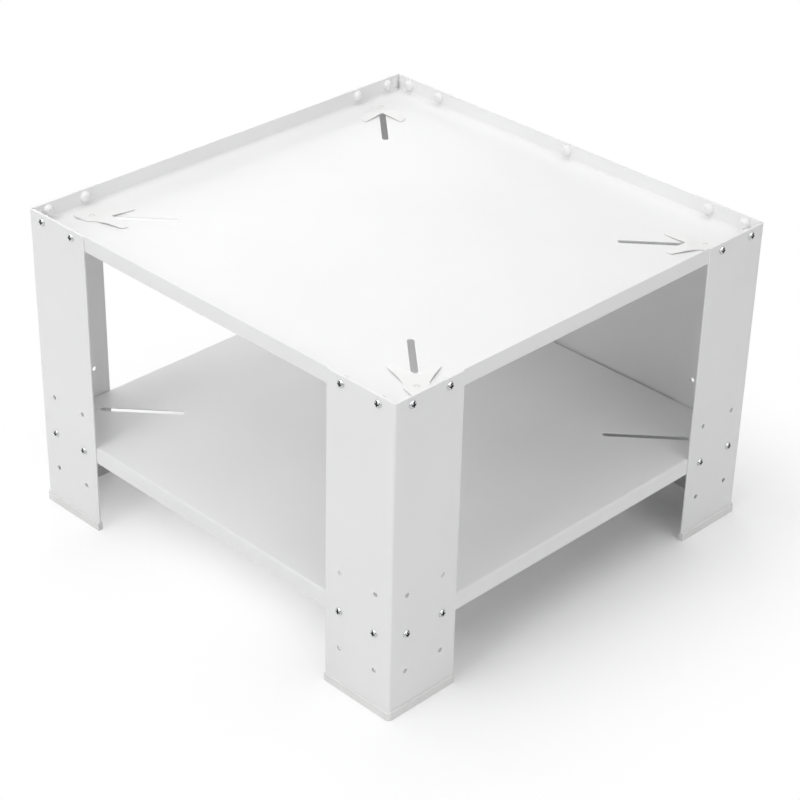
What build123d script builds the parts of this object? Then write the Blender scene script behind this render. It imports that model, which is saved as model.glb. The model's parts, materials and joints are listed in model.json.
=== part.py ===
from build123d import *
import math
import os

# Stand for a washing machine: four angle legs carry a tray on top and a shelf below.
# Millimetres. Origin on the floor under the middle of the stand, +Z up, the open front towards -Y.

# Overall size, over the legs
WIDTH = 600.0
DEPTH = 600.0
HEIGHT = 399.0

# Sheet thickness of the legs, of the two pressings and of the rear panel
LEG_SHEET = 2.0
TRAY_SHEET = 1.2
PANEL_SHEET = 1.0

# Legs: equal angles, with two columns of holes in each flange
LEG_FLANGE = 100.0
LEG_BEND_INNER = 1.0
COLUMN_NEAR = 24.0
COLUMN_FAR = 78.0

# Shelf holes in the legs: rows above the floor, the shelf hangs on the middle one
SHELF_ROW_LOWEST = 55.0
SHELF_ROW_PITCH = 50.0
SHELF_ROWS = 3
SHELF_ROW_USED = 1

# Foot caps pushed onto the leg ends
FOOT_WALL = 2.3
FOOT_SOLE = 3.0
FOOT_GRIP = 7.5
FOOT_ROUND = 0.8

# M5 screws, nuts and the domed caps over the nuts. A share is of the head's height or the cap's radius.
SCREW_R = 2.5
HOLE_CLEARANCE = 0.5
THREAD_CLEARANCE = 0.05
HEAD_R = 4.8
HEAD_HEIGHT = 2.8
HEAD_ROUND_SHARE = 0.85
RECESS_LENGTH = 6.2
RECESS_WIDTH = 1.8
RECESS_SHARE = 0.7
NUT_FLATS = 8.0
NUT_HEIGHT = 4.0
SCREW_PROUD = 0.3
NUT_ROOM = 0.3
CAP_WALL = 2.3
CAP_CROWN = 1.2
CAP_END_ROOM = 0.3
CAP_ROUND_SHARE = 0.86

# Rims of the pressings: room round a nut cap, and the bend at the foot of the rim
CAP_RIM_GAP = 1.9
CAP_FLOOR_GAP = 3.7
TRAY_BEND_INNER = 1.8

# Rear panel and the spacers at its middle
PANEL_SIDE_INSET = 2.0
PANEL_FOOT_GAP = 0.5
PANEL_TOP_GAP = 3.0
SPACER_R = 6.5

# Foot stops: where they rest in the tray corners, and how far they slide along their slots
STOP_SETBACK_X = 31.5
STOP_SETBACK_Y = 62.0
STOP_TRAVEL = 97.0
STOP_SCREW_R = 3.0
SLOT_PLAY = 1.0
SLIDE_CLEARANCE = 0.3

# Foot stop plate: a fork with a V notch towards the middle of the tray and a nose towards the corner
STOP_SHEET = 1.2
STOP_TIP_SHEET = 0.5
STOP_NOTCH_BACK = 23.0
STOP_NOTCH_DEPTH = 25.0
STOP_NOTCH_HALF = 23.0
STOP_PRONG_SKEW = 8.0
STOP_PRONG_WIDTH = 5.5
STOP_WAIST_HALF = 14.0
STOP_WAIST_BACK = 8.0
STOP_WAIST_FRONT = 3.0
STOP_NOSE_R = 8.0
STOP_NOSE_REACH = 13.0
STOP_CORNER_ROUND = 2.0
STOP_BOW_RISE = 1.4
STOP_BOW_FLAT = 5.0
STOP_NOSE_LIFT = 1.2
STOP_WASHER_R = 9.0
STOP_WASHER_SHEET = 1.6
STOP_HEAD_R = 5.8
STOP_HEAD_HEIGHT = 3.4
STOP_SCREW_SUNK = 0.3
STOP_SEAT_MARGIN = 1.5

# How far a cut runs past the face where it starts or ends
CUT_OVER = 1.0

# Sizes that follow from those above
hole_r = SCREW_R + HOLE_CLEARANCE
nut_corner_r = NUT_FLATS / math.sqrt(3)
nut_room_r = nut_corner_r + NUT_ROOM
cap_r = nut_room_r + CAP_WALL
screw_drop = CAP_RIM_GAP + cap_r
rim_height = TRAY_SHEET + CAP_FLOOR_GAP + cap_r + screw_drop
screw_length = PANEL_SHEET + LEG_SHEET + TRAY_SHEET + NUT_HEIGHT + SCREW_PROUD
screw_reach = screw_length - LEG_SHEET - TRAY_SHEET
cap_height = screw_reach + CAP_END_ROOM + CAP_CROWN
foot_height = FOOT_SOLE + FOOT_GRIP

leg_bend_outer = LEG_BEND_INNER + LEG_SHEET
tray_bend_outer = TRAY_BEND_INNER + TRAY_SHEET
tray_half_x = WIDTH / 2 - LEG_SHEET
tray_half_y = DEPTH / 2 - LEG_SHEET
tray_low = HEIGHT - rim_height
tray_floor = tray_low + TRAY_SHEET
tray_screw_z = HEIGHT - screw_drop
shelf_rows = [SHELF_ROW_LOWEST + SHELF_ROW_PITCH * i for i in range(SHELF_ROWS)]
shelf_screw_z = shelf_rows[SHELF_ROW_USED]
shelf_low = shelf_screw_z - screw_drop
shelf_top = shelf_low + rim_height

slot_r = STOP_SCREW_R + SLOT_PLAY
stop_bore_r = STOP_SCREW_R + THREAD_CLEARANCE
stop_seat_front = stop_bore_r + STOP_SEAT_MARGIN
stop_x = tray_half_x - STOP_SETBACK_X
stop_y = tray_half_y - STOP_SETBACK_Y
stop_reach = math.hypot(stop_x, stop_y)

CORNERS = {
    "front_left": (-1, -1),
    "front_right": (1, -1),
    "rear_left": (-1, 1),
    "rear_right": (1, 1),
}
SIDES = {
    "front": (0, -1),
    "rear": (0, 1),
    "left": (-1, 0),
    "right": (1, 0),
}
FOOT_POINT = (0, 0, 0)
UP = (0, 0, 1)


def rod(start, direction, radius, length):
    """A round bar that starts at a point and runs along a direction."""
    return Solid.make_cylinder(radius, length, Plane(origin=start, z_dir=direction))


def bore(start, direction, radius, depth):
    """A hole from a point on one face of a piece to its other face, run past both."""
    along = Vector(*direction)
    return rod(Vector(*start) - along * CUT_OVER, along, radius, depth + 2 * CUT_OVER)


def ring(outer_r, inner_r, height):
    """A flat ring that stands on the XY plane."""
    return rod(FOOT_POINT, UP, outer_r, height) - bore(FOOT_POINT, UP, inner_r, height)


def nearest_vertex(face, x, y):
    return face.vertices().sort_by_distance((x, y, 0))[0]


def at_corner(shape, signs):
    """Turn a shape made for the corner at the origin, opening to +X +Y, into a corner of the stand."""
    placed = Pos(-WIDTH / 2, -DEPTH / 2, 0) * shape
    if signs[0] > 0:
        placed = mirror(placed, about=Plane.YZ)
    if signs[1] > 0:
        placed = mirror(placed, about=Plane.XZ)
    return placed


def columns(side):
    """Screw places along one side, measured from its middle."""
    half = WIDTH / 2 if SIDES[side][0] == 0 else DEPTH / 2
    near = half - COLUMN_NEAR
    far = half - COLUMN_FAR
    return [-near, -far, far, near]


def with_middle(side):
    """The rear side has one more screw at its middle, for the panel."""
    extra = [0.0] if side == "rear" else []
    return columns(side) + extra


def side_point(side, along, depth, z):
    """A point on a side, at a depth inwards from the outer faces of the legs."""
    sx, sy = SIDES[side]
    if sx == 0:
        return (along, sy * (DEPTH / 2 - depth), z)
    return (sx * (WIDTH / 2 - depth), along, z)


def on_side(shape, side, along, depth, z):
    """Stand a shape that was made along +Z outwards from a side."""
    sx, sy = SIDES[side]
    seat = Plane(origin=side_point(side, along, depth, z), x_dir=(-sy, sx, 0), z_dir=(sx, sy, 0))
    return seat.location * shape


def angle_section(grow):
    """Section of a leg. The cap's is thicker on both faces and ends flush with the flanges."""
    low = -grow
    high = LEG_SHEET + grow
    end = LEG_FLANGE
    corners = [(low, low), (end, low), (end, high), (high, high), (high, end), (low, end)]
    face = make_face(Polyline(*corners, close=True))
    face = fillet(nearest_vertex(face, low, low), leg_bend_outer + grow)
    return fillet(nearest_vertex(face, high, high), LEG_BEND_INNER)


def leg():
    """One angle leg in the corner at the origin, with its holes."""
    blank = Pos(0, 0, FOOT_SOLE) * extrude(angle_section(0), HEIGHT - FOOT_SOLE)
    drills = []
    for z in shelf_rows + [tray_screw_z]:
        for column in (COLUMN_NEAR, COLUMN_FAR):
            drills.append(bore((column, 0, z), (0, 1, 0), hole_r, LEG_SHEET))
            drills.append(bore((0, column, z), (1, 0, 0), hole_r, LEG_SHEET))
    return blank - drills


def foot_cap():
    """Plastic shoe on the end of a leg in the corner at the origin, open at the flange ends."""
    shoe = extrude(angle_section(FOOT_WALL), foot_height)
    shoe = fillet(shoe.edges().group_by(Axis.Z)[-1], FOOT_ROUND)
    return shoe - Pos(0, 0, FOOT_SOLE) * extrude(angle_section(0), foot_height)


def rim_profile():
    """Section of a rim: the bend at its foot, then the upright, from the edge of the flat floor."""
    bend = tray_bend_outer
    inner = TRAY_BEND_INNER
    half = math.sqrt(0.5)
    path = [
        ThreePointArc((0, 0), (bend * half, bend - bend * half), (bend, bend)),
        Polyline((bend, bend), (bend, rim_height), (inner, rim_height), (inner, bend)),
        ThreePointArc((inner, bend), (inner * half, bend - inner * half), (0, TRAY_SHEET)),
        Line((0, TRAY_SHEET), (0, 0)),
    ]
    return make_face(path)


def slot_cut(signs):
    """One diagonal slot, from where a foot stop rests towards the middle of the tray."""
    angle = math.degrees(math.atan2(signs[1] * stop_y, signs[0] * stop_x))
    outline = SlotCenterToCenter(STOP_TRAVEL, 2 * slot_r)
    cut = Pos(stop_reach - STOP_TRAVEL / 2, 0, -CUT_OVER) * extrude(outline, TRAY_SHEET + 2 * CUT_OVER)
    return Rot(0, 0, angle) * cut


def pressing():
    """Tray pressing with its floor down and its rims up, standing on the XY plane."""
    flat_x = tray_half_x - tray_bend_outer
    flat_y = tray_half_y - tray_bend_outer
    plate = extrude(Rectangle(2 * flat_x, 2 * flat_y), TRAY_SHEET)
    for side, (sx, sy) in SIDES.items():
        reach = flat_y if sx == 0 else flat_x
        half_run = flat_x if sx == 0 else flat_y
        start = Plane(
            origin=(sx * reach - sy * half_run, sy * reach + sx * half_run, 0),
            x_dir=(sx, sy, 0),
            z_dir=(sy, -sx, 0),
        )
        plate = plate + extrude(start * rim_profile(), 2 * half_run)
    cuts = [slot_cut(signs) for signs in CORNERS.values()]
    hole_z = rim_height - screw_drop
    for side, (sx, sy) in SIDES.items():
        for along in with_middle(side):
            start = side_point(side, along, LEG_SHEET, hole_z)
            cuts.append(bore(start, (-sx, -sy, 0), hole_r, TRAY_SHEET))
    return plate - cuts


def rear_panel():
    """Plain sheet outside the rear legs, from just above the foot caps to just below the tray's edge."""
    half = WIDTH / 2 - PANEL_SIDE_INSET
    low = foot_height + PANEL_FOOT_GAP
    tall = HEIGHT - PANEL_TOP_GAP - low
    sheet = Pos(0, DEPTH / 2 + PANEL_SHEET / 2, low + tall / 2) * Box(2 * half, PANEL_SHEET, tall)
    drills = []
    for z in shelf_rows + [tray_screw_z]:
        used = z in (shelf_screw_z, tray_screw_z)
        for along in with_middle("rear") if used else columns("rear"):
            drills.append(bore((along, DEPTH / 2, z), (0, 1, 0), hole_r, PANEL_SHEET))
    return sheet - drills


def pan_screw(radius, length, head_r, head_height):
    """Pan-head screw with a cross recess, head up, seated at z = 0."""
    head = rod(FOOT_POINT, UP, head_r, head_height)
    head = fillet(head.edges().group_by(Axis.Z)[-1], HEAD_ROUND_SHARE * head_height)
    recess_floor = head_height * (1 - RECESS_SHARE)
    bar_height = head_height - recess_floor + CUT_OVER
    bar = Pos(0, 0, recess_floor + bar_height / 2) * Box(RECESS_LENGTH, RECESS_WIDTH, bar_height)
    return head - [bar, Rot(0, 0, 90) * bar] + rod((0, 0, -length), UP, radius, length)


def hex_nut():
    """Hexagon nut that stands on the XY plane."""
    blank = extrude(RegularPolygon(NUT_FLATS / 2, 6, major_radius=False), NUT_HEIGHT)
    return blank - bore(FOOT_POINT, UP, SCREW_R + THREAD_CLEARANCE, NUT_HEIGHT)


def nut_cap():
    """Domed cap over a nut, open at z = 0."""
    dome = rod(FOOT_POINT, UP, cap_r, cap_height)
    dome = fillet(dome.edges().group_by(Axis.Z)[-1], CAP_ROUND_SHARE * cap_r)
    nut_space = rod((0, 0, -CUT_OVER), UP, nut_room_r, NUT_HEIGHT + NUT_ROOM + CUT_OVER)
    end_space = rod(FOOT_POINT, UP, SCREW_R + NUT_ROOM, screw_reach + CAP_END_ROOM)
    return dome - [nut_space, end_space]


def stop_outline():
    """Plan of a foot stop, with its clamp screw at the origin and its nose towards +X."""
    notch_x = -STOP_NOTCH_BACK
    tip_x = notch_x - STOP_NOTCH_DEPTH
    half = [
        (notch_x, 0),
        (tip_x, STOP_NOTCH_HALF),
        (tip_x + STOP_PRONG_SKEW, STOP_NOTCH_HALF + STOP_PRONG_WIDTH),
        (-STOP_WAIST_BACK, STOP_WAIST_HALF),
        (STOP_WAIST_FRONT, STOP_WAIST_HALF),
    ]
    other = [(x, -y) for x, y in reversed(half[1:])]
    fork = make_face(Polyline(*half, *other, close=True))
    waist = Line((STOP_WAIST_FRONT, -STOP_WAIST_HALF), (STOP_WAIST_FRONT, STOP_WAIST_HALF))
    nose = make_hull([waist] + (Pos(STOP_NOSE_REACH, 0) * Circle(STOP_NOSE_R)).edges())
    plan = fork + nose
    for x, y in half[1:3]:
        for sign in (1, -1):
            plan = fillet(nearest_vertex(plan, x, sign * y), STOP_CORNER_ROUND)
    return plan


def stop_profile():
    """Side view of a foot stop: thin prong tips down, a bow, a flat seat at the screw, a lifted nose."""
    notch_x = -STOP_NOTCH_BACK
    tip_x = notch_x - STOP_NOTCH_DEPTH
    nose_x = STOP_NOSE_REACH + STOP_NOSE_R
    under = [
        (tip_x, 0),
        (notch_x, STOP_BOW_RISE),
        (notch_x + STOP_BOW_FLAT, STOP_BOW_RISE),
        (-STOP_WAIST_BACK, 0),
        (stop_seat_front, 0),
        (nose_x, STOP_NOSE_LIFT),
    ]
    over = [(x, z + STOP_SHEET) for x, z in reversed(under[1:])] + [(tip_x, STOP_TIP_SHEET)]
    return make_face(Plane.XZ * Polyline(*under, *over, close=True))


def foot_stop():
    """Forked plate, its seat on the XY plane."""
    tall = STOP_BOW_RISE + STOP_NOSE_LIFT + 2 * STOP_SHEET
    wide = STOP_NOTCH_HALF + STOP_PRONG_WIDTH + STOP_WAIST_HALF
    block = Pos(0, 0, -STOP_SHEET) * extrude(stop_outline(), tall + STOP_SHEET)
    plate = extrude(stop_profile(), wide, both=True) & block
    return plate - bore(FOOT_POINT, UP, stop_bore_r, STOP_SHEET)


def at_stop(shape, signs, z):
    """Put a shape where a foot stop rests, its +X towards the corner."""
    angle = math.degrees(math.atan2(signs[1] * stop_y, signs[0] * stop_x))
    return Pos(signs[0] * stop_x, signs[1] * stop_y, z) * Rot(0, 0, angle) * shape


def save(name, shape):
    solids = shape.solids()
    export_step(solids[0] if len(solids) == 1 else Compound(solids), f"parts/{name}.step")


os.makedirs("parts", exist_ok=True)

# Sheet-metal pieces
tray = pressing()
save("top_tray", Pos(0, 0, tray_low) * tray)
save("shelf", Pos(0, 0, shelf_top) * Rot(0, 180, 0) * tray)
save("rear_panel", rear_panel())

# Legs and their caps
for corner, signs in CORNERS.items():
    save(f"leg_{corner}", at_corner(leg(), signs))
    save(f"foot_cap_{corner}", at_corner(foot_cap(), signs))

# Fasteners along each side, at the tray and at the shelf
screw = pan_screw(SCREW_R, screw_length, HEAD_R, HEAD_HEIGHT)
nut = Rot(180, 0, 0) * hex_nut()
cap = Rot(180, 0, 0) * nut_cap()
inner_face = LEG_SHEET + TRAY_SHEET
for side in SIDES:
    head_depth = -PANEL_SHEET if side == "rear" else 0.0
    for level, z in (("tray", tray_screw_z), ("shelf", shelf_screw_z)):
        places = with_middle(side)
        save(f"{level}_screws_{side}", Compound([on_side(screw, side, a, head_depth, z) for a in places]))
        save(f"{level}_nuts_{side}", Compound([on_side(nut, side, a, inner_face, z) for a in places]))
    caps = [on_side(cap, side, a, inner_face, tray_screw_z) for a in with_middle(side)]
    save(f"tray_nut_caps_{side}", Compound(caps))

# Spacers behind the middle of the rear panel
spacer = ring(SPACER_R, hole_r, LEG_SHEET)
spacers = [on_side(spacer, "rear", 0.0, LEG_SHEET, z) for z in (tray_screw_z, shelf_screw_z)]
save("panel_spacers", Compound(spacers))

# Foot stops with their clamp screws and washers
seat_z = tray_floor + SLIDE_CLEARANCE
washer_z = tray_low - SLIDE_CLEARANCE - STOP_WASHER_SHEET
clamp_length = seat_z + STOP_SHEET - STOP_SCREW_SUNK - washer_z
washer = ring(STOP_WASHER_R, stop_bore_r, STOP_WASHER_SHEET)
clamp = Rot(180, 0, 0) * pan_screw(STOP_SCREW_R, clamp_length, STOP_HEAD_R, STOP_HEAD_HEIGHT)
for corner, signs in CORNERS.items():
    save(f"foot_stop_{corner}", at_stop(foot_stop(), signs, seat_z))
    save(f"stop_screw_{corner}", at_stop(clamp, signs, washer_z))
    save(f"stop_washer_{corner}", at_stop(washer, signs, washer_z))
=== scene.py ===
# %% [markdown]
# # A washing machine base in white sheet steel
# The real base is four bent steel angles, two pressed trays and a plain rear sheet, all powder coated
# white and held by small plated screws. The CAD model already has every piece at its true size and place.
# This lesson dresses it: a camera, a studio, the finishes, soft sheet edges and the turned fasteners.

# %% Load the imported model
import json
import math

import bmesh
import bpy
from mathutils import Matrix, Vector


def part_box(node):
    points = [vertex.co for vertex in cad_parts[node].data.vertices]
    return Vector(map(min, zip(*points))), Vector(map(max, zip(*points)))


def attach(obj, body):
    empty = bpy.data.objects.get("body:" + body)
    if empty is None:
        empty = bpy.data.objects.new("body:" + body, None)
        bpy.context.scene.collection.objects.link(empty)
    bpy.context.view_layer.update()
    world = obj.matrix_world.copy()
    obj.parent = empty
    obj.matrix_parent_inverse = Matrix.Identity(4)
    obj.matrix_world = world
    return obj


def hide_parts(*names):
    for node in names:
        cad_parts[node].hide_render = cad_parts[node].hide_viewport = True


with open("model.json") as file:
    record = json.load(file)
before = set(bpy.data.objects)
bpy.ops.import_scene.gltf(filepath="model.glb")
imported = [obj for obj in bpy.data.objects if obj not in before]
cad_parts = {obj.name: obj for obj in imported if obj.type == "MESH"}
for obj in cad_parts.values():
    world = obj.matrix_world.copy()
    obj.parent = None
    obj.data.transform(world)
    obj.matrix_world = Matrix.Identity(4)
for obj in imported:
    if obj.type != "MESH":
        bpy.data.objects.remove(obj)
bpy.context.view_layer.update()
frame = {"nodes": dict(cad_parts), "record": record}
nodes = frame["nodes"]
scene = bpy.context.scene
scene.view_settings.view_transform = "Standard"
MM = 0.001

# %% [markdown]
# ## Camera
# The photograph looks down on the front right leg with a long lens, so upright edges stay nearly parallel.
# A camera can be nudged by eye, but the corners of a square stand fix it: the angles below come from
# fitting those corners. The turn is built from three rotations, read from right to left: roll, tilt, swing.

# %% Camera
LENS_MM = 100.14
SENSOR_MM = 36.0
CAMERA_PLACE = Vector((1.6258, -1.6430, 1.5347))
CAMERA_AZIMUTH = math.radians(44.497)
CAMERA_ELEVATION = math.radians(30.91)
CAMERA_ROLL = math.radians(1.34)

lens = bpy.data.cameras.new("Photo_camera")
lens.lens = LENS_MM
lens.sensor_width = SENSOR_MM
camera = bpy.data.objects.new("Photo_camera", lens)
scene.collection.objects.link(camera)
swing = Matrix.Rotation(CAMERA_AZIMUTH, 4, "Z")
tilt = Matrix.Rotation(math.pi / 2 - CAMERA_ELEVATION, 4, "X")
roll = Matrix.Rotation(CAMERA_ROLL, 4, "Z")
camera.matrix_world = Matrix.Translation(CAMERA_PLACE) @ swing @ tilt @ roll
scene.camera = camera
print("camera", round(CAMERA_PLACE.length, 3), "m from the middle of the floor")

# %% [markdown]
# ## Helpers for node trees
# Finishes and repeated pieces are both node trees here. Three tiny helpers keep the cells readable: one adds
# a node and fills its sockets by name, one joins an output socket to an input socket, and one does sums.


# %% Node helpers
def add(tree, kind, sockets=None, **settings):
    """A new node with its sockets and its settings filled in."""
    node = tree.nodes.new(kind)
    for name, value in settings.items():
        setattr(node, name, value)
    for name, value in (sockets or {}).items():
        node.inputs[name].default_value = value
    return node


def join(tree, source, target):
    tree.links.new(source, target)


def maths(tree, operation, first, second=None):
    """A Math node fed by sockets or plain numbers."""
    node = add(tree, "ShaderNodeMath", operation=operation)
    for index, value in enumerate((first, second)):
        if isinstance(value, bpy.types.NodeSocket):
            join(tree, value, node.inputs[index])
        elif value is not None:
            node.inputs[index].default_value = value
    return node.outputs[0]


print("helpers ready")

# %% [markdown]
# ## World
# A white studio surrounds the stand. Light Path tells the kinds of rays apart, so each can see its own room:
# the paint gets a low even fill, the camera sees clean white, and reflections see a room that is white
# overhead and dark at eye level, as a real studio is. That dark band is what makes bright screws look dark.

# %% World
FILL_LEVEL = 0.19
FILL_TINT = (0.985, 0.99, 1.0, 1.0)
WHITE = (1.0, 1.0, 1.0, 1.0)
EYE_LEVEL = 0.03
BAND_LOW = 0.22
BAND_HIGH = 0.5

world = bpy.data.worlds.new("White_studio")
scene.world = world
world.use_nodes = True
sky = world.node_tree
sky.nodes.clear()
rays = add(sky, "ShaderNodeLightPath")
fill = add(sky, "ShaderNodeBackground", {"Color": FILL_TINT, "Strength": FILL_LEVEL})
look = add(sky, "ShaderNodeTexCoord")
height = add(sky, "ShaderNodeSeparateXYZ")
join(sky, look.outputs["Generated"], height.inputs[0])
climb = add(sky, "ShaderNodeMapRange", {"From Min": BAND_LOW, "From Max": BAND_HIGH, "To Min": EYE_LEVEL})
join(sky, height.outputs["Z"], climb.inputs["Value"])
mirrored = add(sky, "ShaderNodeBackground", {"Color": WHITE})
join(sky, climb.outputs["Result"], mirrored.inputs["Strength"])
backdrop = add(sky, "ShaderNodeBackground", {"Color": WHITE, "Strength": 1.0})
lit_or_mirrored = add(sky, "ShaderNodeMixShader")
join(sky, rays.outputs["Is Glossy Ray"], lit_or_mirrored.inputs["Fac"])
join(sky, fill.outputs[0], lit_or_mirrored.inputs[1])
join(sky, mirrored.outputs[0], lit_or_mirrored.inputs[2])
seen = maths(sky, "MAXIMUM", rays.outputs["Is Camera Ray"], rays.outputs["Is Transmission Ray"])
room = add(sky, "ShaderNodeMixShader")
join(sky, seen, room.inputs["Fac"])
join(sky, lit_or_mirrored.outputs[0], room.inputs[1])
join(sky, backdrop.outputs[0], room.inputs[2])
sky_out = add(sky, "ShaderNodeOutputWorld")
join(sky, room.outputs[0], sky_out.inputs["Surface"])
print("world fill", FILL_LEVEL)

# %% [markdown]
# ## Lamps
# Large soft boxes do the shaping. The widest hangs overhead, so the tray is the brightest and its rims throw
# hardly any shade on it. Two in front outshine the one on the right, so the two outer faces of a leg differ
# in tone. Two on the left reach in over the shelf. That leaves the weakest light under the shelf on the
# right, where the photograph has its shadow. Large lamps keep its edge soft; a sun would draw it hard.

# %% Lamps
LAMPS = {
    "Overhead": {"place": (0.0, 0.0, 2.4), "size": 3.6, "watts": 41.5},
    "Front_high": {"place": (-0.4, -2.2, 2.7), "size": 1.8, "watts": 18.0},
    "Front_far": {"place": (0.4, -4.5, 2.2), "size": 2.0, "watts": 46.0},
    "Left": {"place": (-3.2, -0.4, 1.6), "size": 2.2, "watts": 22.0},
    "Rear_left": {"place": (-2.6, 1.8, 0.6), "size": 1.8, "watts": 33.0},
    "Right": {"place": (3.2, -0.4, 1.6), "size": 2.2, "watts": 25.0},
}
LAMP_AIM = Vector((0.0, 0.0, 0.2))


def softbox(name, place, size, watts):
    """A square area lamp that faces the stand."""
    data = bpy.data.lights.new(name, "AREA")
    data.shape = "SQUARE"
    data.size = size
    data.energy = watts
    lamp = bpy.data.objects.new(name, data)
    scene.collection.objects.link(lamp)
    lamp.location = place
    lamp.rotation_euler = (LAMP_AIM - Vector(place)).to_track_quat("-Z", "Y").to_euler()


for lamp_name, lamp_facts in LAMPS.items():
    softbox(lamp_name, **lamp_facts)
print(len(LAMPS), "softboxes")

# %% [markdown]
# ## Floor
# A plain pale floor takes the soft shadow. It is paint that needs light, so the shadow shows. Is Camera Ray
# gives the camera a white paint and the light that bounces up to the stand a slightly greyer one. A darker
# floor would be easier on the eye, but white sheet steel takes its tone from what it stands on.

# %% Floor
FLOOR_HALF = 9.0
FLOOR_SEEN = (1.03, 1.03, 1.03, 1.0)
FLOOR_BOUNCE = (0.9, 0.9, 0.9, 1.0)
FLOOR_ROUGHNESS = 0.85
FLOOR_SHINE = 0.1

floor_mesh = bpy.data.meshes.new("Studio_floor")
floor_corners = [(x * FLOOR_HALF, y * FLOOR_HALF, 0.0) for x, y in ((-1, -1), (1, -1), (1, 1), (-1, 1))]
floor_mesh.from_pydata(floor_corners, [], [(0, 1, 2, 3)])
floor = bpy.data.objects.new("Studio_floor", floor_mesh)
scene.collection.objects.link(floor)

floor_finish = bpy.data.materials.new("Studio_floor_paint")
floor_finish.use_nodes = True
floor_tree = floor_finish.node_tree
floor_shader = floor_tree.nodes["Principled BSDF"]
floor_shader.inputs["Roughness"].default_value = FLOOR_ROUGHNESS
floor_shader.inputs["Specular IOR Level"].default_value = FLOOR_SHINE
floor_rays = add(floor_tree, "ShaderNodeLightPath")
two_whites = add(floor_tree, "ShaderNodeMix", {"A": FLOOR_BOUNCE, "B": FLOOR_SEEN}, data_type="RGBA")
join(floor_tree, floor_rays.outputs["Is Camera Ray"], two_whites.inputs["Factor"])
join(floor_tree, two_whites.outputs["Result"], floor_shader.inputs["Base Color"])
floor_mesh.materials.append(floor_finish)
print("floor", 2 * FLOOR_HALF, "m wide")

# %% [markdown]
# ## Where the floor fades to white
# Away from the stand the camera, and only the camera, sees a plain white glow of strength 1, so the floor
# runs into the background from every side. In the photograph the floor between the two front legs is whitened
# as well, so a second fade grows towards the front there and dies away to the sides. Map Range turns a
# distance into a smooth share of glow, and the larger of the two shares wins. More lamps would whiten the
# stand too.

# %% Floor fades
FADE_START = 0.25
FADE_END = 0.58
FRONT_START = -0.1
FRONT_END = -0.3
SIDE_START = 0.42
SIDE_END = 0.02


def glow_share(distance, start, end):
    """A smooth share from 0 to 1 as a distance on the floor runs from start to end."""
    ramp = add(floor_tree, "ShaderNodeMapRange", {"From Min": start, "From Max": end},
               interpolation_type="SMOOTHSTEP")
    join(floor_tree, distance, ramp.inputs["Value"])
    return ramp.outputs["Result"]


floor_place = add(floor_tree, "ShaderNodeTexCoord")
floor_axes = add(floor_tree, "ShaderNodeSeparateXYZ")
join(floor_tree, floor_place.outputs["Object"], floor_axes.inputs[0])
across = maths(floor_tree, "ABSOLUTE", floor_axes.outputs["X"])
along = maths(floor_tree, "ABSOLUTE", floor_axes.outputs["Y"])
outer = glow_share(maths(floor_tree, "MAXIMUM", across, along), FADE_START, FADE_END)
# front is a glow that only the camera sees, painted over the stand's shadow on the floor between the two
# front legs.
front = maths(floor_tree, "MULTIPLY", glow_share(floor_axes.outputs["Y"], FRONT_START, FRONT_END),
              glow_share(across, SIDE_START, SIDE_END))
share = maths(floor_tree, "MULTIPLY", maths(floor_tree, "MAXIMUM", outer, front),
              floor_rays.outputs["Is Camera Ray"])
glow = add(floor_tree, "ShaderNodeEmission", {"Color": WHITE, "Strength": 1.0})
floor_mix = add(floor_tree, "ShaderNodeMixShader")
join(floor_tree, share, floor_mix.inputs["Fac"])
join(floor_tree, floor_shader.outputs[0], floor_mix.inputs[1])
join(floor_tree, glow.outputs[0], floor_mix.inputs[2])
join(floor_tree, floor_mix.outputs[0], floor_tree.nodes["Material Output"].inputs["Surface"])
print("floor glow from", FADE_START, "to", FADE_END, "m")

# %% [markdown]
# ## Powder coat, as a shader group
# Powder paint melts into a skin with a faint orange peel: bumps a millimetre or two across that blur the
# highlights. The legs and trays share it with the foot stops, so it is one group with named inputs. It reads
# Object coordinates, so the grain keeps its size on every piece. The group puts out only what changes over
# the surface; the shader itself stays in each material.

# %% Powder coat group
NOISE_LOW = 0.3
NOISE_HIGH = 0.7


def group_tree(name, inputs, outputs):
    """An empty shader group with named float inputs and outputs."""
    tree = bpy.data.node_groups.new(name, "ShaderNodeTree")
    for socket_name, value in inputs.items():
        socket = tree.interface.new_socket(socket_name, in_out="INPUT", socket_type="NodeSocketFloat")
        socket.default_value = value
    for socket_name in outputs:
        tree.interface.new_socket(socket_name, in_out="OUTPUT", socket_type="NodeSocketFloat")
    return tree, add(tree, "NodeGroupInput"), add(tree, "NodeGroupOutput")


def ramp_between(tree, noise, low, high):
    """A float that runs from one socket to another over the middle of a noise."""
    spread = add(tree, "ShaderNodeMapRange", {"From Min": NOISE_LOW, "From Max": NOISE_HIGH})
    join(tree, noise, spread.inputs["Value"])
    join(tree, low, spread.inputs["To Min"])
    join(tree, high, spread.inputs["To Max"])
    return spread.outputs["Result"]


SKIN_OUTPUTS = ("Tone", "Roughness", "Relief")
coat_inputs = {"Peel Per Metre": 620.0, "Tone Per Metre": 5.0, "Tone Low": 0.84, "Tone High": 0.87,
               "Roughness Low": 0.34, "Roughness High": 0.44}
coat, coat_in, coat_out = group_tree("Powder_coat", coat_inputs, SKIN_OUTPUTS)
coat_place = add(coat, "ShaderNodeTexCoord")
peel = add(coat, "ShaderNodeTexNoise", {"Detail": 2.0, "Roughness": 0.45})
clouds = add(coat, "ShaderNodeTexNoise", {"Detail": 3.0, "Roughness": 0.55})
for noise, rate in ((peel, "Peel Per Metre"), (clouds, "Tone Per Metre")):
    join(coat, coat_place.outputs["Object"], noise.inputs["Vector"])
    join(coat, coat_in.outputs[rate], noise.inputs["Scale"])
tone = ramp_between(coat, clouds.outputs["Fac"], coat_in.outputs["Tone Low"], coat_in.outputs["Tone High"])
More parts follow.
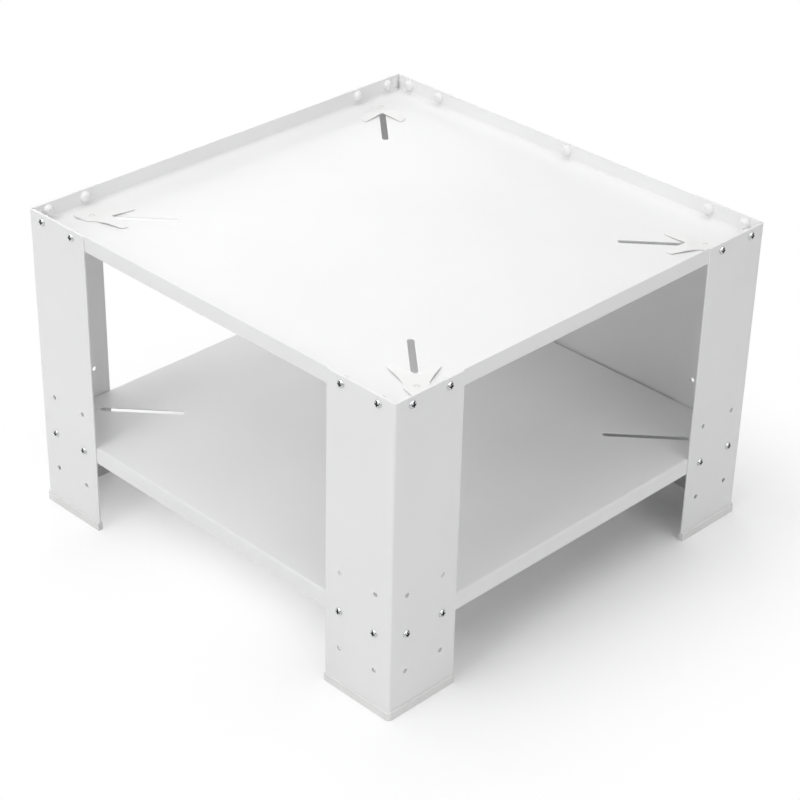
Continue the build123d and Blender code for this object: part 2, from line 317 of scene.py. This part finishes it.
sheen = ramp_between(coat, peel.outputs["Fac"], coat_in.outputs["Roughness Low"],
                     coat_in.outputs["Roughness High"])
join(coat, tone, coat_out.inputs["Tone"])
join(coat, sheen, coat_out.inputs["Roughness"])
join(coat, peel.outputs["Fac"], coat_out.inputs["Relief"])
print("group", coat.name, "with", len(coat_inputs), "inputs")

# %% [markdown]
# ## Painted steel
# The stand's white and the foot stops' white are the same powder in two batches: the stand takes the group
# as it is, and the stops have a finer peel and a slightly darker tone. A material places the group, turns its
# tone into a colour and feeds its relief to a Bump node. The function takes any group with these three
# outputs, so the plastics below use it too.

# %% Painted steel materials
PEEL_DEPTH = 0.1 * MM
PAINT_SHINE = 0.35
STOP_TINT = (1.0, 0.998, 0.99, 1.0)


def skin_material(name, skin_group, values, tint, depth, bump, shine):
    """A material whose tone, roughness and fine relief come from a skin group."""
    material = bpy.data.materials.new(name)
    material.use_nodes = True
    tree = material.node_tree
    shader = tree.nodes["Principled BSDF"]
    skin = add(tree, "ShaderNodeGroup", values, node_tree=skin_group)
    colour = add(tree, "ShaderNodeMix", {"Factor": 1.0, "B": tint}, data_type="RGBA", blend_type="MULTIPLY")
    relief = add(tree, "ShaderNodeBump", {"Strength": bump, "Distance": depth})
    join(tree, skin.outputs["Tone"], colour.inputs["A"])
    join(tree, skin.outputs["Relief"], relief.inputs["Height"])
    join(tree, colour.outputs["Result"], shader.inputs["Base Color"])
    join(tree, skin.outputs["Roughness"], shader.inputs["Roughness"])
    join(tree, relief.outputs["Normal"], shader.inputs["Normal"])
    shader.inputs["Specular IOR Level"].default_value = shine
    return material


powder_white = skin_material("Powder_white", coat, {}, WHITE, PEEL_DEPTH, bump=0.12, shine=PAINT_SHINE)
stop_values = {"Peel Per Metre": 800.0, "Tone Low": 0.835, "Tone High": 0.865}
stop_white = skin_material("Stop_white", coat, stop_values, STOP_TINT, PEEL_DEPTH, bump=0.1,
                           shine=PAINT_SHINE)
print("painted steel:", powder_white.name, stop_white.name)

# %% [markdown]
# ## Moulded plastic
# The foot caps and the nut caps are injection moulded. A mould leaves a fine, even grain, and the flow of the
# plastic leaves slow changes of tone and sheen. The grain only moves the bump: a sheen that changed as fast
# would look like frost. Both caps use the same effect at different sizes, so it is a group as well.

# %% Moulded plastic group
mould_inputs = {"Grain Per Metre": 2600.0, "Tone Low": 0.78, "Tone High": 0.82,
                "Roughness Low": 0.4, "Roughness High": 0.55}
mould, mould_in, mould_out = group_tree("Moulded_skin", mould_inputs, SKIN_OUTPUTS)
mould_place = add(mould, "ShaderNodeTexCoord")
grain = add(mould, "ShaderNodeTexNoise", {"Detail": 1.0})
flow = add(mould, "ShaderNodeTexNoise", {"Scale": 30.0, "Detail": 2.0, "Distortion": 0.6})
join(mould, mould_place.outputs["Object"], grain.inputs["Vector"])
join(mould, mould_place.outputs["Object"], flow.inputs["Vector"])
join(mould, mould_in.outputs["Grain Per Metre"], grain.inputs["Scale"])
for quality in ("Tone", "Roughness"):
    flowing = ramp_between(mould, flow.outputs["Fac"], mould_in.outputs[quality + " Low"],
                           mould_in.outputs[quality + " High"])
    join(mould, flowing, mould_out.inputs[quality])
join(mould, grain.outputs["Fac"], mould_out.inputs["Relief"])
print("group", mould.name, "with", len(mould_inputs), "inputs")

# %% [markdown]
# ## The two plastics
# The foot caps are matt and take the group as it is, with a coarser grain. The nut caps are glossier and a
# little paler in their darkest places, so they override the tone and the roughness.

# %% Plastic materials
GRAIN_DEPTH = 0.05 * MM
PLASTIC_SHINE = 0.5
FOOT_TINT = (1.0, 1.0, 0.99, 1.0)
CAP_TINT = (1.0, 1.0, 0.995, 1.0)

foot_values = {"Grain Per Metre": 1800.0}
foot_plastic = skin_material("Foot_plastic", mould, foot_values, FOOT_TINT, GRAIN_DEPTH, bump=0.3,
                             shine=PLASTIC_SHINE)
cap_values = {"Tone Low": 0.79, "Tone High": 0.82, "Roughness Low": 0.22, "Roughness High": 0.3}
cap_plastic = skin_material("Cap_plastic", mould, cap_values, CAP_TINT, GRAIN_DEPTH, bump=0.04,
                            shine=PLASTIC_SHINE)
print("plastics:", foot_plastic.name, cap_plastic.name)

# %% [markdown]
# ## Plated steel
# The frame's screws, nuts and spacers and the stops' washers are bright zinc: a mirror with a slight haze and
# faint cloudy patches from the plating bath. The cross of a screw gets painted shade: the screws below carry
# a recess attribute that is one inside the cross, and this material paints those faces nearly black, as shade
# deep in the cross would look. Only this one material needs these nodes, so they sit in the material itself.

# %% Plated steel material
PLATE_LOW = (0.6, 0.605, 0.615, 1.0)
PLATE_HIGH = (0.7, 0.705, 0.71, 1.0)
# Painted shade: the near-black colour of the faces inside the cross of a screw.
RECESS_PAINTED_SHADE = (0.07, 0.07, 0.075, 1.0)
HAZE_LOW = 0.16
HAZE_HIGH = 0.22

plated_steel = bpy.data.materials.new("Plated_steel")
plated_steel.use_nodes = True
plate_tree = plated_steel.node_tree
plate = plate_tree.nodes["Principled BSDF"]
plate.inputs["Metallic"].default_value = 1.0
plate_place = add(plate_tree, "ShaderNodeTexCoord")
bath = add(plate_tree, "ShaderNodeTexNoise", {"Scale": 260.0, "Detail": 3.0, "Roughness": 0.6})
join(plate_tree, plate_place.outputs["Object"], bath.inputs["Vector"])
plate_colour = add(plate_tree, "ShaderNodeMix", {"A": PLATE_LOW, "B": PLATE_HIGH}, data_type="RGBA")
join(plate_tree, bath.outputs["Fac"], plate_colour.inputs["Factor"])
haze = add(plate_tree, "ShaderNodeMapRange", {"From Min": NOISE_LOW, "From Max": NOISE_HIGH,
                                              "To Min": HAZE_LOW, "To Max": HAZE_HIGH})
join(plate_tree, bath.outputs["Fac"], haze.inputs["Value"])
# The recess attribute masks where the painted shade goes.
recess_shade_mask = add(plate_tree, "ShaderNodeAttribute", attribute_name="recess")
painted_recess_shade = add(plate_tree, "ShaderNodeMix", {"B": RECESS_PAINTED_SHADE}, data_type="RGBA")
join(plate_tree, recess_shade_mask.outputs["Fac"], painted_recess_shade.inputs["Factor"])
join(plate_tree, plate_colour.outputs["Result"], painted_recess_shade.inputs["A"])
join(plate_tree, painted_recess_shade.outputs["Result"], plate.inputs["Base Color"])
join(plate_tree, haze.outputs["Result"], plate.inputs["Roughness"])
finishes = {"powder_white": powder_white, "stop_white": stop_white, "foot_plastic": foot_plastic,
            "cap_plastic": cap_plastic, "plated_steel": plated_steel}
print("plated steel ready,", len(finishes), "finishes in all")

# %% [markdown]
# ## Which body and which finish a node has
# The record says which body carries each CAD node and which material slot it takes. A new piece asks it, so
# that nothing is written twice, and one short function does the frame calls for every piece.

# %% Body, finish and dressing
slot_of = {part["node"]: part["material_slot"] for part in frame["record"]["subparts"]}
body_of = {}
for body, members in frame["record"]["behaviour"]["bodies"].items():
    for member in members:
        body_of[member] = body


def dress(piece, *replaced):
    """Let a finished piece stand for CAD nodes of one body."""
    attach(piece, body_of[replaced[0]])
    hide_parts(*replaced)


print(len(set(body_of.values())), "bodies carry", len(body_of), "nodes")

# %% [markdown]
# ## Sheet metal with soft edges
# Punched and folded sheet is never razor sharp once it is coated: a thin round runs along every cut edge and
# round every hole, and it catches the light. The CAD faces come as loose triangles, so a copy is welded, its
# flat faces are joined up again, and a Bevel modifier rounds only the sharp edges. Loop Slide is off, so that
# the round keeps one width where a seam between two flat faces meets a hole. Weighted Normal then keeps the
# wide faces looking flat. Modelling the sheets again from nothing would risk losing their true sizes.

# %% Soft-edged pieces
WELD_GAP = 0.002 * MM
FLAT_TURN = math.radians(1.0)
SHARP_TURN = math.radians(40.0)
EDGE_ROUNDS = {"powder_white": 0.35 * MM, "stop_white": 0.2 * MM, "foot_plastic": 0.4 * MM,
               "plated_steel": 0.2 * MM}
EDGE_STEPS = 3
FLAT_WEIGHT = 100


def soft_edged(node):
    """A welded copy of a CAD node with its sharp edges rounded."""
    shape = bmesh.new()
    shape.from_mesh(nodes[node].data)
    bmesh.ops.remove_doubles(shape, verts=shape.verts, dist=WELD_GAP)
    bmesh.ops.dissolve_limit(shape, angle_limit=FLAT_TURN, verts=shape.verts, edges=shape.edges)
    for face in shape.faces:
        face.smooth = True
    mesh = bpy.data.meshes.new(node + "_sheet")
    shape.to_mesh(mesh)
    shape.free()
    mesh.materials.append(finishes[slot_of[node]])
    piece = bpy.data.objects.new(node + "_soft", mesh)
    scene.collection.objects.link(piece)
    edge = piece.modifiers.new("Soft_edge", "BEVEL")
    edge.width = EDGE_ROUNDS[slot_of[node]]
    edge.segments = EDGE_STEPS
    edge.limit_method = "ANGLE"
    edge.angle_limit = SHARP_TURN
    edge.use_clamp_overlap = False
    edge.loop_slide = False
    flats = piece.modifiers.new("Flat_faces", "WEIGHTED_NORMAL")
    flats.weight = FLAT_WEIGHT
    dress(piece, node)


soft_nodes = [node for node in nodes if node in ("top_tray", "shelf", "rear_panel", "panel_spacers")
              or node.startswith(("leg_", "foot_", "stop_washer_"))]
for soft_node in soft_nodes:
    soft_edged(soft_node)
print(len(soft_nodes), "soft-edged pieces")

# %% [markdown]
# ## Where the fasteners sit
# Each CAD node of screws, nuts or caps is a group of separate solids. Walking along the edges from vertex to
# vertex finds the solids one by one, always in the order of the mesh, so that every run gives the same
# result. The middle of each solid's box says where that fastener sits, and the side that the node is named
# for says which way the head of a screw looks.

# %% Places of the fasteners
OUTWARD = {"front": Vector((0, -1, 0)), "rear": Vector((0, 1, 0)),
           "left": Vector((-1, 0, 0)), "right": Vector((1, 0, 0))}


def solid_boxes(node):
    """The lowest and highest corner of each separate solid in a CAD node."""
    shape = bmesh.new()
    shape.from_mesh(nodes[node].data)
    bmesh.ops.remove_doubles(shape, verts=shape.verts, dist=WELD_GAP)
    boxes = []
    met = set()
    for first in shape.verts:
        if first in met:
            continue
        met.add(first)
        reached = [first]
        corners = []
        while reached:
            vertex = reached.pop()
            corners.append(vertex.co.copy())
            for edge in vertex.link_edges:
                other = edge.other_vert(vertex)
                if other not in met:
                    met.add(other)
                    reached.append(other)
        low = Vector(min(c[i] for c in corners) for i in range(3))
        high = Vector(max(c[i] for c in corners) for i in range(3))
        boxes.append((low, high))
    shape.free()
    return boxes


def side_places(kind):
    """The middle and the outward direction of every fastener of a kind, and the nodes they are in."""
    places, directions, used = [], [], []
    for side, outward in OUTWARD.items():
        for node in (f"tray_{kind}_{side}", f"shelf_{kind}_{side}"):
            if node in nodes:
                used.append(node)
                for low, high in solid_boxes(node):
                    places.append((low + high) / 2)
                    directions.append(outward)
    return places, directions, used


screw_places, screw_outward, screw_nodes = side_places("screws")
nut_places, nut_outward, nut_nodes = side_places("nuts")
cap_places, cap_outward, cap_nodes = side_places("nut_caps")
print(len(screw_places), "screws,", len(nut_places), "nuts,", len(cap_places), "caps")

# %% [markdown]
# ## Geometry Nodes for what repeats
# One screw is worth modelling once and copying many times. A Geometry Nodes tree does that: it builds the
# piece at the origin from named sizes, sets a copy on every point, and turns each copy to its outward
# direction. The helpers in this cell start such a tree and make the simple solids that the pieces need.


# %% Tree helpers
def piece_tree(name, sizes):
    """A tree that takes points, named sizes and a finish, and gives pieces."""
    tree = bpy.data.node_groups.new(name, "GeometryNodeTree")
    tree.interface.new_socket("Places", in_out="INPUT", socket_type="NodeSocketGeometry")
    for size in sizes:
        tree.interface.new_socket(size, in_out="INPUT", socket_type="NodeSocketFloat")
    tree.interface.new_socket("Finish", in_out="INPUT", socket_type="NodeSocketMaterial")
    tree.interface.new_socket("Pieces", in_out="OUTPUT", socket_type="NodeSocketGeometry")
    return tree, add(tree, "NodeGroupInput")


def vector(tree, x, y, z):
    """A vector put together from sockets or plain numbers."""
    node = add(tree, "ShaderNodeCombineXYZ")
    for index, value in enumerate((x, y, z)):
        if isinstance(value, bpy.types.NodeSocket):
            join(tree, value, node.inputs[index])
        else:
            node.inputs[index].default_value = value
    return node.outputs[0]


def moved(tree, geometry, offset):
    """Geometry shifted by a vector socket."""
    node = add(tree, "GeometryNodeTransform")
    join(tree, geometry, node.inputs["Geometry"])
    join(tree, offset, node.inputs["Translation"])
    return node.outputs["Geometry"]


def bar(tree, radius, length, sides, rings=1):
    """A round bar that stands on the XY plane."""
    node = add(tree, "GeometryNodeMeshCylinder", {"Vertices": sides, "Side Segments": rings})
    join(tree, radius, node.inputs["Radius"])
    join(tree, length, node.inputs["Depth"])
    return moved(tree, node.outputs["Mesh"], vector(tree, 0.0, 0.0, maths(tree, "MULTIPLY", length, 0.5)))


def boolean(tree, operation, first, *others):
    """A first mesh less the others, or what they all share."""
    node = add(tree, "GeometryNodeMeshBoolean", operation=operation, solver="EXACT")
    join(tree, first, node.inputs["Mesh 1" if operation == "DIFFERENCE" else "Mesh 2"])
    for other in others:
        join(tree, other, node.inputs["Mesh 2"])
    return node.outputs["Mesh"]


print("tree helpers ready")

# %% [markdown]
# ## From points to pieces
# Every tree ends the same way: Instance on Points copies the piece, Realize Instances makes the copies real
# mesh, which is what the export needs, and Set Material gives them their finish. Running a tree takes a mesh
# of bare points that carry their outward direction. Its result is kept as a plain mesh, and the points go.


# %% Ending and running a tree
def finish_tree(tree, inputs, one_piece):
    """Copy a piece to every point, turned outwards, and give it its finish."""
    outward = add(tree, "GeometryNodeInputNamedAttribute", {"Name": "outward"}, data_type="FLOAT_VECTOR")
    turn = add(tree, "FunctionNodeAlignRotationToVector", axis="Z")
    join(tree, outward.outputs["Attribute"], turn.inputs["Vector"])
    copies = add(tree, "GeometryNodeInstanceOnPoints")
    join(tree, inputs.outputs["Places"], copies.inputs["Points"])
    join(tree, one_piece, copies.inputs["Instance"])
    join(tree, turn.outputs["Rotation"], copies.inputs["Rotation"])
    real = add(tree, "GeometryNodeRealizeInstances")
    join(tree, copies.outputs["Instances"], real.inputs["Geometry"])
    coated = add(tree, "GeometryNodeSetMaterial")
    join(tree, real.outputs["Geometry"], coated.inputs["Geometry"])
    join(tree, inputs.outputs["Finish"], coated.inputs["Material"])
    out = add(tree, "NodeGroupOutput")
    join(tree, coated.outputs["Geometry"], out.inputs["Pieces"])


def grown(tree, name, places, directions, sizes, material, smooth_below):
    """Run a tree on points and keep its result as a plain mesh object."""
    points = bpy.data.meshes.new(name + "_points")
    points.from_pydata(places, [], [])
    outward = points.attributes.new("outward", "FLOAT_VECTOR", "POINT")
    for item, direction in zip(outward.data, directions):
        item.vector = direction
    seed = bpy.data.objects.new(name + "_points", points)
    scene.collection.objects.link(seed)
    modifier = seed.modifiers.new(name, "NODES")
    modifier.node_group = tree
    for socket in tree.interface.items_tree:
        if socket.in_out == "INPUT" and socket.name in sizes:
            modifier[socket.identifier] = sizes[socket.name]
        if socket.in_out == "INPUT" and socket.name == "Finish":
            modifier[socket.identifier] = material
    evaluated = seed.evaluated_get(bpy.context.evaluated_depsgraph_get())
    mesh = bpy.data.meshes.new_from_object(evaluated)
    mesh.name = name
    bpy.data.objects.remove(seed)
    mesh.shade_smooth()
    mesh.set_sharp_from_angle(angle=smooth_below)
    piece = bpy.data.objects.new(name, mesh)
    scene.collection.objects.link(piece)
    return piece


print("trees can be run")

# %% [markdown]
# ## A crown by formula
# Pan heads and domed caps are both a cylinder whose upper rings draw in. A cylinder with several rings is
# bent by Set Position: as a ring climbs through a quarter turn, its height follows the sine and its radius
# the cosine of that turn. A power under one squares the shoulders, and a flat share keeps a disc on top.


# %% Crown helper
def crown(tree, radius, height, flat_share, power, sides, rings):
    """A cylinder on the XY plane whose rings follow a quarter of a squared-off ellipse."""
    blank = bar(tree, radius, height, sides, rings)
    place = add(tree, "GeometryNodeInputPosition")
    parts = add(tree, "ShaderNodeSeparateXYZ")
    join(tree, place.outputs["Position"], parts.inputs[0])
    climb = maths(tree, "DIVIDE", parts.outputs["Z"], height)
    turn = maths(tree, "MULTIPLY", climb, math.pi / 2)
    rise = maths(tree, "POWER", maths(tree, "SINE", turn), power)
    shrink = maths(tree, "POWER", maths(tree, "MAXIMUM", maths(tree, "COSINE", turn), 0.0), power)
    spread = maths(tree, "ADD", maths(tree, "MULTIPLY", shrink, 1.0 - flat_share), flat_share)
    x = maths(tree, "MULTIPLY", parts.outputs["X"], spread)
    y = maths(tree, "MULTIPLY", parts.outputs["Y"], spread)
    z = maths(tree, "MULTIPLY", rise, height)
    bent = add(tree, "GeometryNodeSetPosition")
    join(tree, blank, bent.inputs["Geometry"])
    join(tree, vector(tree, x, y, z), bent.inputs["Position"])
    return bent.outputs["Geometry"]


print("crown helper ready")

# %% [markdown]
# ## The head of a screw
# The head is a crown, and the cross recess is two bars taken away with a Boolean. The bars carry the recess
# attribute, and the Boolean hands it on to the faces that they leave in the head: the plated steel paints
# shade there.

# %% Screw head
HEAD_FLAT_SHARE = 0.3
HEAD_POWER = 0.9
HEAD_SIDES = 32
HEAD_RINGS = 9

screw_sizes = ("Head Radius", "Head Height", "Recess Span", "Recess Width", "Recess Depth",
               "Shank Radius", "Shank Length", "Thread Pitch")
screw_tree, screw_in = piece_tree("Pan_head_screw", screw_sizes)
screw_size = screw_in.outputs
head = crown(screw_tree, screw_size["Head Radius"], screw_size["Head Height"], HEAD_FLAT_SHARE, HEAD_POWER,
             HEAD_SIDES, HEAD_RINGS)
recess_bars = []
recess_height = maths(screw_tree, "MULTIPLY", screw_size["Recess Depth"], 2.0)
for span, width in (("Recess Span", "Recess Width"), ("Recess Width", "Recess Span")):
    wing = add(screw_tree, "GeometryNodeMeshCube")
    wing_size = vector(screw_tree, screw_size[span], screw_size[width], recess_height)
    join(screw_tree, wing_size, wing.inputs["Size"])
    lift = vector(screw_tree, 0.0, 0.0, screw_size["Head Height"])
    # The recess attribute marks where the plated steel paints shade inside the cross.
    marked = add(screw_tree, "GeometryNodeStoreNamedAttribute", {"Name": "recess", "Value": 1.0},
                 data_type="FLOAT", domain="FACE")
    join(screw_tree, wing.outputs["Mesh"], marked.inputs["Geometry"])
    recess_bars.append(moved(screw_tree, marked.outputs["Geometry"], lift))
driven_head = boolean(screw_tree, "DIFFERENCE", head, *recess_bars)
print("screw head with", len(recess_bars), "bars for the cross")

# %% [markdown]
# ## The shank and thread of a screw
# Below the head, a small triangle swept along a spiral winds round a plain core. A bump could hint at a
# thread, but only geometry has its outline, and that shows where the screw ends stand out of the nuts under
# the shelf. It costs several hundred faces a screw, which thirty-four screws can afford.

# %% Screw shank and thread
BAR_SIDES = 24
THREAD_DEPTH_SHARE = 0.5
THREAD_STEPS = 20
RIDGE_SIDES = 3

thread_depth = maths(screw_tree, "MULTIPLY", screw_size["Thread Pitch"], THREAD_DEPTH_SHARE)
core_radius = maths(screw_tree, "SUBTRACT", screw_size["Shank Radius"], thread_depth)
sink = vector(screw_tree, 0.0, 0.0, maths(screw_tree, "MULTIPLY", screw_size["Shank Length"], -1.0))
core = moved(screw_tree, bar(screw_tree, core_radius, screw_size["Shank Length"], BAR_SIDES), sink)
spiral = add(screw_tree, "GeometryNodeCurveSpiral", {"Resolution": THREAD_STEPS})
thread_run = maths(screw_tree, "SUBTRACT", screw_size["Shank Length"], screw_size["Thread Pitch"])
turns = maths(screw_tree, "DIVIDE", thread_run, screw_size["Thread Pitch"])
join(screw_tree, turns, spiral.inputs["Rotations"])
join(screw_tree, core_radius, spiral.inputs["Start Radius"])
join(screw_tree, core_radius, spiral.inputs["End Radius"])
join(screw_tree, thread_run, spiral.inputs["Height"])
ridge = add(screw_tree, "GeometryNodeCurvePrimitiveCircle", {"Resolution": RIDGE_SIDES})
join(screw_tree, thread_depth, ridge.inputs["Radius"])
thread = add(screw_tree, "GeometryNodeCurveToMesh", {"Fill Caps": True})
join(screw_tree, spiral.outputs["Curve"], thread.inputs["Curve"])
join(screw_tree, ridge.outputs["Curve"], thread.inputs["Profile Curve"])
thread_sink = maths(screw_tree, "SUBTRACT", thread_depth, screw_size["Shank Length"])
thread_low = moved(screw_tree, thread.outputs["Mesh"], vector(screw_tree, 0.0, 0.0, thread_sink))
whole_screw = add(screw_tree, "GeometryNodeJoinGeometry")
for portion in (driven_head, core, thread_low):
    join(screw_tree, portion, whole_screw.inputs[0])
finish_tree(screw_tree, screw_in, whole_screw.outputs[0])
print("screw tree with", len(screw_tree.nodes), "nodes")

# %% [markdown]
# ## Setting the screws
# The sizes are those of an M5 pan-head screw. The tree sets the plane under a screw's head on each point, so
# every middle is first moved out to that plane. One run makes all the screws, because they share one body.

# %% Screws
HEAD_RADIUS = 4.8 * MM
HEAD_HEIGHT = 2.8 * MM
SCREW_LENGTH = 8.5 * MM
screw_values = {"Head Radius": HEAD_RADIUS, "Head Height": HEAD_HEIGHT, "Recess Span": 6.2 * MM,
                "Recess Width": 1.8 * MM, "Recess Depth": 2.0 * MM, "Shank Radius": 2.5 * MM,
                "Shank Length": SCREW_LENGTH, "Thread Pitch": 0.8 * MM}
FACETED = math.radians(35.0)
seat_shift = (SCREW_LENGTH - HEAD_HEIGHT) / 2
screw_seats = [place + outward * seat_shift for place, outward in zip(screw_places, screw_outward)]
screws = grown(screw_tree, "Pan_screws", screw_seats, screw_outward, screw_values, plated_steel, FACETED)
dress(screws, *screw_nodes)
print(screws.name, len(screws.data.polygons), "faces")

# %% [markdown]
# ## Hexagon nuts
# A nut is a six-sided prism with its corners turned away at both ends. Meeting the prism with a squashed
# sphere leaves the curved chamfers of a turned nut, and a bar takes the bore out.

# %% Nut tree and nuts
BALL_SEGMENTS = 48
BALL_RINGS = 24
BALL_WIDTH_SHARE = 1.04
BALL_HEIGHT_SHARE = 0.95
NUT_SIDES = 6
BORE_HEIGHTS = 3.0

nut_sizes = ("Flats", "Height", "Bore Radius")
nut_tree, nut_in = piece_tree("Hexagon_nut", nut_sizes)
nut_size = nut_in.outputs
corner_radius = maths(nut_tree, "MULTIPLY", nut_size["Flats"], 1 / math.sqrt(3))
prism = bar(nut_tree, corner_radius, nut_size["Height"], NUT_SIDES)
half_height = maths(nut_tree, "MULTIPLY", nut_size["Height"], 0.5)
ball = add(nut_tree, "GeometryNodeMeshUVSphere",
           {"Segments": BALL_SEGMENTS, "Rings": BALL_RINGS, "Radius": 1.0})
squash = add(nut_tree, "GeometryNodeTransform")
ball_width = maths(nut_tree, "MULTIPLY", corner_radius, BALL_WIDTH_SHARE)
ball_height = maths(nut_tree, "MULTIPLY", nut_size["Height"], BALL_HEIGHT_SHARE)
join(nut_tree, ball.outputs["Mesh"], squash.inputs["Geometry"])
join(nut_tree, vector(nut_tree, ball_width, ball_width, ball_height), squash.inputs["Scale"])
join(nut_tree, vector(nut_tree, 0.0, 0.0, half_height), squash.inputs["Translation"])
turned = boolean(nut_tree, "INTERSECT", prism, squash.outputs["Geometry"])
bore_length = maths(nut_tree, "MULTIPLY", nut_size["Height"], BORE_HEIGHTS)
bore_low = vector(nut_tree, 0.0, 0.0, maths(nut_tree, "MULTIPLY", nut_size["Height"], -1.0))
bore = moved(nut_tree, bar(nut_tree, nut_size["Bore Radius"], bore_length, BAR_SIDES), bore_low)
centred = moved(nut_tree, boolean(nut_tree, "DIFFERENCE", turned, bore),
                vector(nut_tree, 0.0, 0.0, maths(nut_tree, "MULTIPLY", half_height, -1.0)))
finish_tree(nut_tree, nut_in, centred)

nut_values = {"Flats": 8.0 * MM, "Height": 4.0 * MM, "Bore Radius": 2.55 * MM}
nuts = grown(nut_tree, "Hexagon_nuts", nut_places, nut_outward, nut_values, plated_steel, FACETED)
dress(nuts, *nut_nodes)
print(nuts.name, len(nuts.data.polygons), "faces")

# %% [markdown]
# ## Domed nut caps
# The caps that show as pale domes inside the rims push over the nuts. Each is a crown with two hollows taken
# out of it, one for the nut and one for the end of the screw. They look inwards, so each copy is turned the
# other way round.

# %% Cap tree and caps
CAP_FLAT_SHARE = 0.2
CAP_POWER = 0.9
CAP_SIDES = 40
CAP_RINGS = 10

cap_sizes = ("Radius", "Height", "Hollow Radius", "Hollow Depth", "End Radius", "End Depth")
cap_tree, cap_in = piece_tree("Domed_cap", cap_sizes)
cap_size = cap_in.outputs
dome = crown(cap_tree, cap_size["Radius"], cap_size["Height"], CAP_FLAT_SHARE, CAP_POWER,
             CAP_SIDES, CAP_RINGS)
hollows = []
for wide, deep in (("Hollow Radius", "Hollow Depth"), ("End Radius", "End Depth")):
    hollow_length = maths(cap_tree, "MULTIPLY", cap_size[deep], 2.0)
    hollow_low = vector(cap_tree, 0.0, 0.0, maths(cap_tree, "MULTIPLY", cap_size[deep], -1.0))
    hollows.append(moved(cap_tree, bar(cap_tree, cap_size[wide], hollow_length, BAR_SIDES), hollow_low))
finish_tree(cap_tree, cap_in, boolean(cap_tree, "DIFFERENCE", dome, *hollows))

CAP_HEIGHT = 6.8 * MM
dome_values = {"Radius": 7.22 * MM, "Height": CAP_HEIGHT, "Hollow Radius": 4.92 * MM,
               "Hollow Depth": 4.3 * MM, "End Radius": 2.8 * MM, "End Depth": 5.6 * MM}
SMOOTH = math.radians(45.0)
cap_inward = [-outward for outward in cap_outward]
cap_seats = [place + outward * (CAP_HEIGHT / 2) for place, outward in zip(cap_places, cap_outward)]
caps = grown(cap_tree, "Domed_caps", cap_seats, cap_inward, dome_values, cap_plastic, SMOOTH)
dress(caps, *cap_nodes)
print(caps.name, len(caps.data.polygons), "faces")

# %% [markdown]
# ## Clamp screws of the foot stops
# Each foot stop is held from below by a larger screw, which is coated white like the stop and moves with it,
# so each of the four bodies gets its own piece. The tree is the same; only its sizes and its finish change.
# The head looks down, and the end of the screw lies just below the top of the stop.

# %% Clamp screws
CLAMP_HEAD_RADIUS = 5.8 * MM
CLAMP_HEAD_HEIGHT = 3.4 * MM
CLAMP_SHANK_RADIUS = 3.0 * MM
CLAMP_PITCH = 1.0 * MM
clamp_nodes = [node for node in nodes if node.startswith("stop_screw_")]
for clamp_node in clamp_nodes:
    low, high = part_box(clamp_node)
    clamp_length = high.z - low.z - CLAMP_HEAD_HEIGHT
    clamp_values = {**screw_values, "Head Radius": CLAMP_HEAD_RADIUS, "Head Height": CLAMP_HEAD_HEIGHT,
                    "Shank Radius": CLAMP_SHANK_RADIUS, "Shank Length": clamp_length,
                    "Thread Pitch": CLAMP_PITCH}
    clamp_seat = Vector(((low.x + high.x) / 2, (low.y + high.y) / 2, low.z + CLAMP_HEAD_HEIGHT))
    clamp = grown(screw_tree, clamp_node + "_turned", [clamp_seat], [Vector((0, 0, -1))], clamp_values,
                  finishes[slot_of[clamp_node]], FACETED)
    dress(clamp, clamp_node)
print(len(clamp_nodes), "clamp screws")
